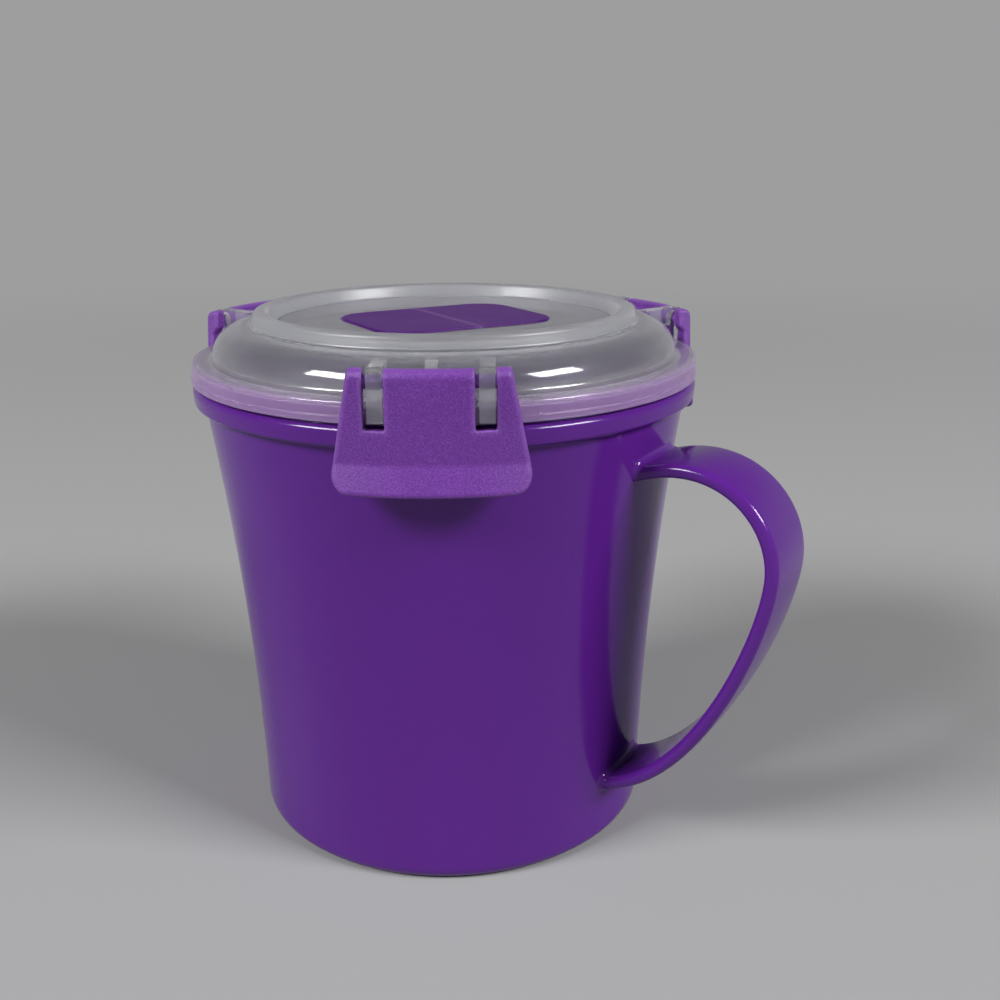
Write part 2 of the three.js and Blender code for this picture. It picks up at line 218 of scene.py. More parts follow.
class Finish:  # the nodes of a material or a world, and the one method that adds them
    def __init__(self, owner):
        owner.use_nodes = True
        self.owner, self.tree = owner, owner.node_tree
        self.tree.nodes.clear()

    def add(self, kind, settings=None, sockets=None, output=0):
        node = self.tree.nodes.new(kind)
        for name, value in (settings or {}).items():
            setattr(node, name, value)
        for name, value in (sockets or {}).items():
            if isinstance(value, Wire):
                self.tree.links.new(value.socket, node.inputs[name])
            else:
                node.inputs[name].default_value = value
        return Wire(self, node.outputs[output])

    def spot(self, scale=(1, 1, 1), turn=0):  # object coordinates, scaled and then turned about Z by degrees
        plain = self.add("ShaderNodeTexCoord", output="Object")
        return self.add("ShaderNodeMapping", None, {
            "Vector": plain, "Scale": scale, "Rotation": (0, 0, np.radians(turn))}, "Vector")

    def part(self, vector, axis):  # one component of a vector
        return self.add("ShaderNodeSeparateXYZ", None, {0: vector}, axis)

    def length(self, vector):  # of a vector
        return self.add("ShaderNodeVectorMath", {"operation": "LENGTH"}, {0: vector}, "Value")

    def noise(self, scale, detail=3.0, roughness=0.55, stretch=(1, 1, 1)):
        return self.add("ShaderNodeTexNoise", None, {
            "Vector": self.spot(stretch), "Scale": scale, "Detail": detail, "Roughness": roughness}, "Fac")

    def between(self, low, high, factor):  # colour mixed from low to high
        return self.add("ShaderNodeMix", {"data_type": "RGBA"}, {"Factor": factor, "A": low, "B": high}, 2)

    def span(self, value, low, high, start=0, end=1):  # smooth step from start to end between low and high
        return self.add("ShaderNodeMapRange", {"interpolation_type": "SMOOTHSTEP"}, {
            0: value, 1: low, 2: high, 3: start, 4: end})

    def bump(self, height, depth, strength):  # depth in metres
        return self.add("ShaderNodeBump", None, {"Height": height, "Distance": depth, "Strength": strength})

    def surface(self, sockets):
        return self.add("ShaderNodeBsdfPrincipled", None, sockets)

    def end(self, shader, output="ShaderNodeOutputMaterial"):  # joins a shader to the output
        last = self.tree.nodes.new(output)
        self.tree.links.new(shader.socket, last.inputs["Surface"])
        return self.owner


def newFinish(name):
    return Finish(bpy.data.materials.new(name))


# Camera at the photograph's viewing angle

viewpoint = {
    "place": (153.11, -235.33, 164.40),  # mm
    "heading": 30.408,  # degrees, anticlockwise from +Y
    "pitch": 17.292,  # degrees below level
    "roll": -0.3208,
    "focalLength": 42.037, "frameWidth": 36,  # mm
    "nearest": 0.01, "furthest": 100,  # metres
}


def setCamera():  # a level heading, then pitched and rolled
    heading, pitch, roll = (np.radians(viewpoint[k]) for k in ("heading", "pitch", "roll"))
    ahead = np.array([-np.sin(heading) * np.cos(pitch), np.cos(heading) * np.cos(pitch), -np.sin(pitch)])
    side = np.array([np.cos(heading), np.sin(heading), 0])
    above = np.cross(side, ahead)
    right = np.cos(roll) * side + np.sin(roll) * above
    up = np.cross(right, ahead)
    lens = bpy.data.cameras.new("camera")
    lens.sensor_width, lens.lens = viewpoint["frameWidth"], viewpoint["focalLength"]
    lens.clip_start, lens.clip_end = viewpoint["nearest"], viewpoint["furthest"]
    camera = bpy.data.objects.new("camera", lens)
    bpy.context.scene.collection.objects.link(camera)
    turn = Matrix(np.stack([right, up, -ahead], 1).tolist()).to_4x4()
    camera.matrix_world = Matrix.Translation(Vector(viewpoint["place"]) * mm) @ turn
    bpy.context.scene.camera = camera
    print("camera at", viewpoint["place"])


# Cup and handle

cup = {
    "baseRadius": 48.8, "baseEdge": 3.0, "baseThickness": 2.6, "insideCorner": 5.0, "cornerLevel": 6.0,
    "footWidth": 6.0, "footHeight": 0.5,  # the underside is hollowed inside a narrow foot
    "footSlope": 1.0, "footRound": 0.6,
    "wallHeight": 105.6, "wallSpread": 1.3, "mouthRadius": 57.3, "wallThickness": 2.2,
    "edgeLead": 1.5, "rimLead": 2.0, "insideFoot": 12.0,  # room that the wall's curve leaves for fillets
    "outsideRows": 80, "insideRows": 60,
    "flangeRadius": 60.0, "flangeTop": 110.1, "flangeTaper": 0.4,
    "flangeEdge": 1.4, "flangeFoot": 0.9, "flangeFillet": 1.2,
    "rimRadius": 58.2, "rimTop": 113.7, "rimRound": 0.5, "rimFillet": 0.3, "step": 3.0, "columns": 224,
}
handle = {
    "width": 20.3, "thickness": 3.4, "edge": 1.4, "crown": 0.3, "edgeSteps": 6, "step": 1.5,
    "upperRoot": 93.8, "upperSlope": 21.4, "upperPull": 19.9,
    "reach": 86.4, "bendHeight": 75.4, "bendPullUp": 13.3, "bendPullDown": 12.5,
    "lowerRoot": 15.6, "lowerSlope": 11.2, "lowerPull": 23.9,
    "rootLead": 6.0, "rootFillet": 1.6, "rootDepth": 0.9, "filletRows": 14, "rows": 150,
    "curvePoints": 400, "finePoints": 4000,
}
mugLook = {
    "deep": (0.076, 0.0100, 0.186, 1), "light": (0.083, 0.0118, 0.200, 1),  # between flow clouds
    "smooth": 0.10, "hazy": 0.08, "scuffed": 0.05,  # shares of roughness
    "scuffs": (0.60, 0.74),  # part of the streaks that shows
    "specular": 0.32,
}


def mugPlastic():  # glossy moulded polypropylene with faint flow clouds, soft orange peel and upright scuffs
    f, look = newFinish("mugPlastic"), mugLook
    clouds = f.noise(scale=22, detail=2)
    peel = f.noise(scale=420, detail=2)
    haze = f.noise(scale=60, detail=4, roughness=0.65)
    scuffs = f.span(f.noise(scale=900, detail=2, roughness=0.5, stretch=(1, 1, 0.05)), *look["scuffs"])
    return f.end(f.surface({
        "Base Color": f.between(look["deep"], look["light"], clouds),
        "Roughness": look["smooth"] + haze * look["hazy"] + scuffs * look["scuffed"],
        "Normal": f.bump(peel, depth=0.00004, strength=0.35),
        "IOR": plasticIor,
        "Specular IOR Level": look["specular"],
    }))


def wallRadius(z):  # the wall spreads evenly with the height and flares with its square
    share = z / cup["wallHeight"]
    flare = cup["mouthRadius"] - cup["baseRadius"] - cup["wallSpread"]
    return cup["baseRadius"] + cup["wallSpread"] * share + flare * share ** 2


def insideRadius(z):  # the outside less the wall's thickness
    return wallRadius(z) - cup["wallThickness"]


def cupProfile():  # radius and height: out along the underside, up the wall, over the rim and down the inside
    c = cup
    footInner = c["baseRadius"] - c["footWidth"]
    outsideHeights = np.linspace(
        c["baseEdge"] + c["edgeLead"], c["wallHeight"] - c["rimLead"], c["outsideRows"])
    insideHeights = np.linspace(c["rimTop"] - c["rimLead"], c["insideFoot"], c["insideRows"])
    corners = [
        (0, c["footHeight"], 0), (footInner - c["footSlope"], c["footHeight"], c["footRound"]),
        (footInner, 0, c["footRound"]), (c["baseRadius"], 0, c["baseEdge"]),
        *[(wallRadius(z), z, 0) for z in outsideHeights],
        (c["mouthRadius"], c["wallHeight"], c["flangeFillet"]),
        (c["flangeRadius"] - c["flangeTaper"], c["wallHeight"], c["flangeFoot"]),
        (c["flangeRadius"], c["flangeTop"], c["flangeEdge"]),
        (c["rimRadius"], c["flangeTop"], c["rimFillet"]), (c["rimRadius"], c["rimTop"], c["rimRound"]),
        (insideRadius(c["rimTop"]), c["rimTop"], c["rimRound"]),
        *[(insideRadius(z), z, 0) for z in insideHeights],
        (insideRadius(c["cornerLevel"]), c["baseThickness"], c["insideCorner"]), (0, c["baseThickness"], 0),
    ]
    return divided(softened(corners, False), c["step"])


def strapSection():  # rounded strap: across its width and through its thickness, with a slight outer crown
    w, t, e = handle["width"] / 2, handle["thickness"] / 2, handle["edge"]
    corners = [(w, -t, e), (w, t, e), (-w, t, e), (-w, -t, e)]
    section = divided(softened(corners, True, handle["edgeSteps"]), handle["step"], True)
    crown = handle["crown"] * (section[:, 0] / w) ** 2
    section[:, 1] -= np.where(section[:, 1] > 0, crown, 0)
    return section


def strapLine():  # two cubic curves in the XZ plane, from the upper root to the bend and on to the lower root
    h, count = handle, handle["curvePoints"]
    root = lambda z: np.array([wallRadius(z) - cup["wallThickness"] / 2, z])
    way = lambda slope: np.array([np.cos(np.radians(slope)), np.sin(np.radians(slope))])
    upper, lower, bend = root(h["upperRoot"]), root(h["lowerRoot"]), np.array([h["reach"], h["bendHeight"]])
    upperPull = upper + h["upperPull"] * way(h["upperSlope"])
    lowerPull = lower + h["lowerPull"] * way(h["lowerSlope"])
    first = bezier(upper, upperPull, bend + [0, h["bendPullUp"]], bend, count)
    second = bezier(bend, bend - [0, h["bendPullDown"]], lowerPull, lower, count)
    line = np.concatenate([first, second[1:]])
    lead = h["rootLead"] * (line[0] - line[1]) / np.linalg.norm(line[0] - line[1])
    tail = h["rootLead"] * (line[-1] - line[-2]) / np.linalg.norm(line[-1] - line[-2])
    return np.concatenate([[line[0] + lead], line, [line[-1] + tail]])


def strapGrid():
    # the section carried along the strap's line; its ends follow the wall, where it swells by a
    # quarter-circle fillet, and each column of points starts just under the wall's surface
    h, line = handle, strapLine()
    along = np.concatenate([[0], np.cumsum(np.linalg.norm(np.diff(line, axis=0), axis=1))])
    fine = np.linspace(0, along[-1], h["finePoints"])
    x, z = np.interp(fine, along, line[:, 0]), np.interp(fine, along, line[:, 1])
    tangent = np.gradient(np.stack([x, z], -1), axis=0)
    tangent /= np.linalg.norm(tangent, axis=1)[:, None]
    across = np.stack([-tangent[:, 1], tangent[:, 0]], -1)

    section, grow = strapSection(), outwardNormals(strapSection())
    swollen = section + grow * h["rootFillet"]
    px = x[:, None] + across[:, :1] * swollen[:, 1]
    pz = z[:, None] + across[:, 1:] * swollen[:, 1]
    outside = np.hypot(px, swollen[:, 0]) > wallRadius(np.clip(pz, 0, None))
    start = fine[outside.argmax(0)]
    end = fine[len(fine) - 1 - outside[::-1].argmax(0)]

    fillet = h["rootFillet"]
    quarter = np.linspace(0, np.pi / 2, h["filletRows"])
    near = np.concatenate([[-h["rootDepth"]], fillet * (1 - np.cos(quarter))])
    middle = np.linspace(0, 1, h["rows"] - 2 * len(near))[1:-1, None]
    distance = np.concatenate([
        start + near[:, None], start + fillet + (end - start - 2 * fillet) * middle, end - near[::-1, None]])
    fromWall = np.clip(np.minimum(distance - start, end - distance), 0, fillet)
    swell = fillet - np.sqrt(fillet ** 2 - (fillet - fromWall) ** 2)
    wide = section[:, 0] + grow[:, 0] * swell
    thick = section[:, 1] + grow[:, 1] * swell
    at = lambda values: np.interp(distance, fine, values)
    grid = np.stack([at(x) + at(across[:, 0]) * thick, wide, at(z) + at(across[:, 1]) * thick], -1)
    return grid, list(gridFaces(*grid.shape[:2])) + capFaces(*grid.shape[:2])


def makeCup():
    body = makePiece("mug", [turned(cupProfile(), cup["columns"])])
    joinSolids(body, makePiece("strap", [strapGrid()]), "UNION")
    settleNormals(body)
    fitPiece(body, "mug", "mug_body", mugPlastic())
    print("cup and handle:", len(body.data.polygons), "faces")


# Lid

lid = {
    "flangeRadius": cup["flangeRadius"], "skirtBottom": 110.7, "skirtTop": 115.25, "skirtInside": 58.5,
    "skirtEdge": 0.6, "skirtFoot": 0.4,
    "beadHeight": 1.35, "beadStep": 0.25, "beadRise": 0.2, "beadRound": 0.12,  # low, along the skirt's foot
    "channelRoof": 114.05, "channelRound": 0.3,
    "plugBottom": 108.0, "plugRadius": 54.26, "plugThickness": 1.5, "plugRound": 0.5,
    "ledgeRadius": 55.16, "ledgeTop": 110.9, "ledgeHeight": 0.7, "ledgeSlope": 0.9,  # the seal sits on it
    "ledgeBlend": 0.3, "ledgeRound": 0.15, "ledgeRoot": 0.1,
    "wall": 1.8, "domeFoot": 55.1, "domeTop": 122.85, "domeLean": 0.5, "domeRise": 5.7, "domeRun": 5.6,
    "footFillet": 1.7, "footOffset": 0.05, "domeRows": 30, "footRows": 4, "topRows": 2, "underRows": 18,
    "ringOuter": 45.8, "ringInner": 40.4, "ringTop": 126.05, "ringLean": 0.8, "ringSlope": 1.5,
    "ringRound": 1.1, "ringFoot": 0.9, "hollow": 1.7, "hollowRound": 0.5, "hollowFoot": 0.4,
    "panelTop": 122.85, "panelUnder": 121.05, "panelFillet": 0.7, "panelLead": 2.0, "panelRows": 12,
    "step": 2.0, "columns": 320,
}
vent = {
    "azimuth": 60, "length": 44.4, "width": 34.2, "corner": 8.0, "cornerSteps": 10, "step": 2.5,
    "low": 122.25, "high": 123.25, "edge": 0.3, "crease": 0.06, "creaseEdge": 0.3,
    "gap": 0.3, "floor": 121.95, "pocketEdge": 0.25, "pocketStart": 0.4, "pocketRows": 4, "floorRound": 0.2,
    "floorBend": ((0, 1), (0.3, 0.3), (1, 0)),  # shares of floorRound, inwards and up
    "floorShares": (0.97, 0.8, 0.6, 0.4, 0.2, 0),  # of the way out from the middle
    "plugRadius": 3.0, "plugDepth": 1.6, "plugOffset": 12, "plugBury": 0.5, "plugRound": 0.5, "plugStep": 1.0,
    "holeRadius": 3.6, "holeBelow": 1.0, "holeAbove": 0.5, "roundColumns": 48,
}
lug = {
    "hingeRadius": 60.3, "hingeHeight": 119.75,
    "inner": 1.7, "outer": 2.8, "innerPoints": 14, "outerPoints": 12,
    "legDrop": 7.8, "legLead": 1.0, "legRound": 0.3, "legSteps": 4,
    "width": 3.1, "offset": 10.8, "play": 0.3, "edge": 0.22, "bury": 0.8, "rootPoints": 14, "finePoints": 200,
    "ribWidth": 2.4, "ribReach": 0.9, "ribFoot": 119.05, "ribDrop": 0.05, "ribToe": 0.3, "ribRound": 0.4,
}
clipAzimuths = {"clip_front": -60, "clip_back_right": 60, "clip_back_left": 180}  # degrees
lidLook = {
    "clear": ((0.90, 0.92, 0.95, 1), (0.95, 0.96, 0.98, 1)), "milky": (0.43, 0.43, 0.45, 1),
    "paintedRimPurple": (0.44, 0.26, 0.57, 1),  # painted purple on the skirt: the light of the purple rim behind, scattered through it
    # where the finish changes: mm past a size of the lid, and mm over which it blends
    "pastRing": (0.2, 0.4), "ring": (0, 0.8), "high": (2.6, 1.8), "lugs": (4.8, 0.8), "ribs": (2.0, 0.6),
    "legs": (1.0, 0.6), "skirt": (0.3, 0.8),
    # shares of milk
    "plainMilk": 0.09, "ringMilk": 0.14, "lowMilk": 0.17, "skirtMilk": 0.10, "ribMilk": 0.20,
    "slopeLoss": 0.08, "slopeEdge": 0.34,
    # shares of roughness, of the clear wall and of the milk
    "smooth": 0.06, "clouded": 0.04, "leaving": 0.30, "ringRough": 0.27,
    "milkRough": 0.22, "milkClouded": 0.10, "milkRing": 0.30,
}


def lidPlastic():
    # hazy polypropylene: a clear wall whose far side scatters, mixed with milk, which is strongest on the
    # skirt, the dome's foot, the ring and the ribs, and weakest where the dome's slope faces the eye
    f, look = newFinish("lidPlastic"), lidLook
    clouds = f.noise(scale=40, detail=3)
    leaving = f.add("ShaderNodeNewGeometry", output="Backfacing")
    facing = f.add("ShaderNodeLayerWeight", None, {"Blend": 0.5}, "Facing")
    height, radius = f.part(f.spot(), "Z"), f.length(f.spot((1, 1, 0)))

    def beyond(value, size, change):  # 0 up to a size and 1 past it
        past, blend = look[change]
        return f.span(value, (size + past - blend) * mm, (size + past) * mm)

    pastRing = beyond(radius, lid["ringOuter"], "pastRing")
    ring = beyond(radius, lid["ringInner"], "ring") * (1 - pastRing)
    high = beyond(height, lid["skirtTop"], "high")
    lugs = beyond(radius + height, lid["domeFoot"] + lid["skirtTop"], "lugs")  # past the dome's bulge
    ribs = lugs * (1 - beyond(radius, lid["domeFoot"], "ribs"))
    slope = pastRing * high * (1 - lugs)
    withinRim = 1 - beyond(radius, lid["flangeRadius"], "legs")  # 0 on the lugs' legs, which stay clearer
    low = (1 - high) * withinRim
    # this mask also places the painted purple of the rim on the skirt
    skirt = (1 - beyond(height, lid["skirtTop"], "skirt")) * withinRim
    milk = (look["plainMilk"] + ring * look["ringMilk"] + low * look["lowMilk"] + skirt * look["skirtMilk"]
            + ribs * look["ribMilk"] - slope * (look["slopeLoss"] - facing * facing * look["slopeEdge"]))
    clear = f.surface({
        "Base Color": f.between(*look["clear"], clouds),
        "Roughness": (look["smooth"] + clouds * look["clouded"] + leaving * look["leaving"]
                      + ring * look["ringRough"]),
        "IOR": plasticIor,
        "Transmission Weight": 1.0,
    })
    cloudy = f.surface({
        # the milk turns to painted purple on the skirt, for the rim's light seen through it
        "Base Color": f.between(look["milky"], look["paintedRimPurple"], skirt),
        "Roughness": look["milkRough"] + clouds * look["milkClouded"] + ring * look["milkRing"],
        "IOR": plasticIor,
    })
    return f.end(f.add("ShaderNodeMixShader", None, {0: milk, 1: clear, 2: cloudy}))


def domeCurve(inset, count):  # cubic curve from the foot up to the ring, on the outside or set in by the wall
    foot = (lid["domeFoot"] - inset, lid["skirtTop"])
    end = (lid["ringOuter"] - inset / 2, lid["domeTop"] - inset)
    footPull = (foot[0] - lid["domeLean"], foot[1] + lid["domeRise"] - inset)
    return bezier(foot, footPull, (end[0] + lid["domeRun"], end[1]), end, count)


def lidProfile():  # radius and height: out along the underside, round the skirt and in over the ring
    c = lid
    plain = lambda points: [(r, z, 0) for r, z in points]
    middle = (c["ringOuter"] + c["ringInner"]) / 2
    near, far = middle - c["hollow"] / 2, middle + c["hollow"] / 2
    under, crest = c["domeTop"] - c["wall"], c["ringTop"] - c["wall"]
    plugInside = c["plugRadius"] - c["plugThickness"]
    ledgeFoot = c["ledgeTop"] - c["ledgeHeight"]
    bead, aboveBead = c["skirtBottom"] + c["beadHeight"], c["flangeRadius"] - c["beadStep"]
    topOuter, topInner = c["ringOuter"] - c["ringLean"], c["ringInner"] + c["ringSlope"]
    hollow = [
        (0, c["panelUnder"], 0), (near, c["panelUnder"], c["hollowFoot"]), (near, crest, c["hollowRound"]),
        (far, crest, c["hollowRound"]), (far, under, c["hollowFoot"])]
    plug = [
        (plugInside, c["channelRoof"], 0), (plugInside, c["plugBottom"], c["plugRound"]),
        (c["plugRadius"], c["plugBottom"], c["plugRound"]),
        (c["plugRadius"], ledgeFoot - c["ledgeSlope"], c["ledgeBlend"]),
        (c["ledgeRadius"], ledgeFoot, c["ledgeRound"]), (c["ledgeRadius"], c["ledgeTop"], c["ledgeRound"]),
        (c["plugRadius"], c["ledgeTop"], c["ledgeRoot"])]
    skirt = [
        (c["plugRadius"], c["channelRoof"], c["channelRound"]),
        (c["skirtInside"], c["channelRoof"], c["channelRound"]),
        (c["skirtInside"], c["skirtBottom"], c["channelRound"]),
        (c["flangeRadius"], c["skirtBottom"], c["skirtFoot"]), (c["flangeRadius"], bead, c["beadRound"]),
        (aboveBead, bead + c["beadRise"], c["beadRound"]), (aboveBead, c["skirtTop"], c["skirtEdge"]),
        (c["domeFoot"] + c["footOffset"], c["skirtTop"], c["footFillet"])]
    ring = [
        (c["ringOuter"], c["domeTop"], c["ringFoot"]), (topOuter, c["ringTop"], c["ringRound"]),
        (topInner, c["ringTop"], c["ringRound"]), (c["ringInner"], c["panelTop"], c["panelFillet"]),
        (c["ringInner"] - c["panelLead"], c["panelTop"], 0)]
    inside = plain(domeCurve(c["wall"], c["underRows"])[::-1])
    outside = plain(domeCurve(0, c["domeRows"])[c["footRows"]:-c["topRows"]])
    return divided(softened(hollow + inside + plug + skirt + outside + ring, False), c["step"])


def rectangleReach(angle, length, width, corner):
    # distance from the middle of a rounded rectangle to its edge, in each direction
    tiny = 1e-9
    dx, dy = np.abs(np.cos(angle)), np.abs(np.sin(angle))
    cx, cy = length / 2 - corner, width / 2 - corner
    side = length / 2 / np.maximum(dx, tiny)
    end = width / 2 / np.maximum(dy, tiny)
    along = dx * cx + dy * cy
    bend = along + np.sqrt(np.maximum(along ** 2 - cx ** 2 - cy ** 2 + corner ** 2, 0))
    return np.where(side * dy <= cy, side, np.where(end * dx <= cx, end, bend))


def lidGrid():
    # the profile carried round the axis; past the ring the circles change step by step
    # into the vent pocket's rounded rectangle, go down its wall and close on its floor
    profile = lidProfile()
    angle = np.linspace(0, 2 * np.pi, lid["columns"], endpoint=False)
    facing = angle - np.radians(vent["azimuth"])
    pocket = lambda grow: rectangleReach(
        facing, vent["length"] + 2 * grow, vent["width"] + 2 * grow, vent["corner"] + grow)
    top, floor, gap = lid["panelTop"], vent["floor"], vent["gap"]
    edge, foot = vent["pocketEdge"], vent["floorRound"]
    rim = profile[-1, 0]
    over = np.linspace(vent["pocketStart"], np.pi / 2, vent["pocketRows"])
    rows = [(rim + (pocket(gap + edge) - rim) * s, top) for s in np.linspace(0, 1, lid["panelRows"])[1:]]
    rows += [(pocket(gap + edge * (1 - np.sin(a))), top - edge * (1 - np.cos(a))) for a in over]
    rows += [(pocket(gap - foot * inward), floor + foot * up) for inward, up in vent["floorBend"]]
    rows += [(pocket(gap - foot) * share, floor) for share in vent["floorShares"]]
    r = np.concatenate([np.repeat(profile[:, :1], len(angle), 1)] + [row[None] for row, level in rows])
    z = np.concatenate([profile[:, 1], [level for row, level in rows]])[:, None]
    grid = np.stack([r * np.cos(angle), r * np.sin(angle), np.repeat(z, len(angle), 1)], -1)
    return grid, gridFaces(*grid.shape[:2])


def upright(plateGrid, offset):  # a plate drawn flat, stood up with its thickness along Y
    return np.stack([plateGrid[..., 0], plateGrid[..., 2] + offset, plateGrid[..., 1]], -1)


def domeRoot(low, high):  # points buried under the dome's outside between two heights, from the top down
    curve = domeCurve(0, lug["finePoints"])
    tangent = np.gradient(curve, axis=0)
    tangent /= np.linalg.norm(tangent, axis=1)[:, None]
    buried = curve + lug["bury"] * np.stack([-tangent[:, 1], tangent[:, 0]], -1)
    chosen = buried[(buried[:, 1] > low) & (buried[:, 1] < high)]
    return chosen[np.linspace(len(chosen) - 1, 0, lug["rootPoints"]).astype(int)]


def hookPlate(side):  # rib from the dome, arch over the clip's pin and a long leg in front of it
    c = lug
    pin, leg = (c["hingeRadius"], c["hingeHeight"]), c["hingeHeight"] - c["legDrop"]
    foot, lead = c["hingeHeight"] - c["inner"], leg + c["legLead"]
    root = domeRoot(foot, c["hingeHeight"] + c["outer"])
    near, far = c["hingeRadius"] + c["inner"], c["hingeRadius"] + c["outer"]
    toe = [(near, lead, 0), (near, leg, c["legRound"]), (far, leg, c["legRound"]), (far, lead, 0)]
    outline = np.concatenate([
        [[c["hingeRadius"] - c["inner"], foot]], arc(pin, c["inner"], 180, 0, c["innerPoints"]),
        softened(toe, False, c["legSteps"]), arc(pin, c["outer"], 0, 90, c["outerPoints"]), root])
    grid, faces = roundedPlate(outline, -c["width"] / 2, c["width"] / 2, c["edge"], plain=len(root))
    return upright(grid, side * c["offset"] + c["play"]), faces


def stopPlate():  # short rib behind the middle of each clip
    reach, top, half = lid["domeFoot"] + lug["ribReach"], lid["domeTop"] - lug["ribDrop"], lug["ribWidth"] / 2
    root = domeRoot(lug["ribFoot"], top)
    front = softened([
        (root[-1, 0], lug["ribFoot"], 0), (reach, lug["ribFoot"], lug["ribToe"]),
        (reach, top - lid["wall"], lug["ribRound"]),
        (lid["domeFoot"] - lug["ribReach"], top, lug["ribRound"]), (root[0, 0], top, 0)], False)[1:-1]
    grid, faces = roundedPlate(np.concatenate([front, root]), -half, half, lug["edge"], plain=len(root))
    return upright(grid, 0), faces


def steamHole():  # round hole through the pocket's floor, under the flap's plug
    shift = turnAbout([[-vent["plugOffset"], 0, 0]], vent["azimuth"])[0]
    low, high = lid["panelUnder"] - vent["holeBelow"], vent["floor"] + vent["holeAbove"]
    profile = np.array([[0, low], [vent["holeRadius"], low], [vent["holeRadius"], high], [0, high]])
    points, faces = turned(profile, vent["roundColumns"])
    return points + shift, faces


def makeLid():
    shell = makePiece("lid", [lidGrid()])
    plates = [(turnAbout(points, azimuth), faces) for azimuth in clipAzimuths.values()
              for points, faces in (hookPlate(-1), hookPlate(1), stopPlate())]
    joinSolids(shell, makePiece("lugs", plates), "UNION")
    joinSolids(shell, makePiece("hole", [steamHole()]), "DIFFERENCE")
    settleNormals(shell)
    fitPiece(shell, "lid", "lid_shell", lidPlastic())
    print("lid:", len(shell.data.polygons), "faces")


# Seal ring on the lid's plug

seal = {
    "inner": 54.41, "outer": 55.63, "low": 111.05, "high": 113.90, "edge": 0.3,
    "groove": 0.28, "grooveHalf": 0.5, "grooveRound": 0.3, "lipRound": 0.2, "steps": 4, "columns": 160,
}
sealLook = {
    "shade": (0.62, 0.61, 0.59, 1), "light": (0.72, 0.71, 0.69, 1),
    "rough": 0.55, "powdery": 0.2, "ior": 1.41,
}


def sealRubber():  # pale silicone with a powdery surface
    f, look = newFinish("sealRubber"), sealLook
    powder = f.noise(scale=1800, detail=3)
    return f.end(f.surface({
        "Base Color": f.between(look["shade"], look["light"], powder),
        "Roughness": look["rough"] + powder * look["powdery"],
        "Normal": f.bump(powder, depth=0.00004, strength=0.4),
        "IOR": look["ior"],
    }))


def makeSeal():  # a section with a groove between two soft lips, carried round the axis
    c = seal
    middle, half = (c["low"] + c["high"]) / 2, c["grooveHalf"]
    corners = [
        (c["inner"], c["low"], c["edge"]), (c["outer"], c["low"], c["edge"]),
        (c["outer"], middle - half, c["lipRound"]), (c["outer"] - c["groove"], middle, c["grooveRound"]),
        (c["outer"], middle + half, c["lipRound"]), (c["outer"], c["high"], c["edge"]),
        (c["inner"], c["high"], c["edge"])]
    ring = makePiece("seal", [turned(softened(corners, True, c["steps"]), c["columns"], True)])
    fitPiece(ring, "lid", "lid_seal", sealRubber())
    print("seal:", len(ring.data.polygons), "faces")


# Steam vent

ventLook = {
    # the third colour is a painted highlight along the crease
    "deep": (0.049, 0.0052, 0.108, 1), "light": (0.055, 0.0068, 0.120, 1), "paintedCreaseHighlight": (0.19, 0.11, 0.26, 1),
    "creaseHalf": (0.0003, 0.0014), "creaseShare": 0.32,  # metres over which the painted highlight along the crease fades
    "satin": 0.36, "clouded": 0.12, "specular": 0.15,
}


def ventPlastic():  # the cup's plastic with a finer satin surface, and a painted highlight along the crease
    f, look = newFinish("ventPlastic"), ventLook
    clouds = f.noise(scale=60, detail=2)
    satin = f.noise(scale=2600, detail=2)
    along = f.part(f.spot(turn=-vent["azimuth"]), "X")
    # mask of the painted highlight along the crease, fading outwards from it
    paintedCreaseHighlight = f.span(abs(along), *look["creaseHalf"], look["creaseShare"], 0)
    plain = f.between(look["deep"], look["light"], clouds)
    return f.end(f.surface({
        "Base Color": f.between(plain, look["paintedCreaseHighlight"], paintedCreaseHighlight),
        "Roughness": look["satin"] + clouds * look["clouded"],
        "Normal": f.bump(satin, depth=0.00003, strength=0.3),
        "IOR": plasticIor,
        "Specular IOR Level": look["specular"],
    }))


def ventHalf():  # rounded outline of one half, carried up through its thickness, with the crease along x = 0
    x, y, c = vent["length"] / 2, vent["width"] / 2, vent["corner"]
    near, e = vent["crease"] / 2, vent["creaseEdge"]
    corners = [(near, y, e), (near, -y, e), (x, -y, c), (x, y, c)]
    outline = divided(softened(corners, True, vent["cornerSteps"]), vent["step"], True)
    return roundedPlate(outline, vent["low"], vent["high"], vent["edge"])


def ventPlug():  # round plug under the flap, with a rounded tip
    tip, root, r = vent["low"] - vent["plugDepth"], vent["low"] + vent["plugBury"], vent["plugRadius"]
    corners = [(0, tip, 0), (r, tip, vent["plugRound"]), (r, root, 0), (0, root, 0)]
    points, faces = turned(divided(softened(corners, False), vent["plugStep"]), vent["roundColumns"])
    return turnAbout(points - [vent["plugOffset"], 0, 0], vent["azimuth"]), faces


def makeVent():
    material = ventPlastic()
    grid, faces = ventHalf()
    fixed = makePiece("ventPlate", [(turnAbout(grid, vent["azimuth"]), faces)])
    flap = makePiece("ventFlap", [(turnAbout(grid, vent["azimuth"] + 180), faces)])
    joinSolids(flap, makePiece("plug", [ventPlug()]), "UNION")
    settleNormals(flap)
    settleNormals(fixed)
    fitPiece(fixed, "lid", "vent_plate", material)
    fitPiece(flap, "vent_flap", "vent_flap", material)
    print("vent:", len(fixed.data.polygons) + len(flap.data.polygons), "faces")


# Locking clips

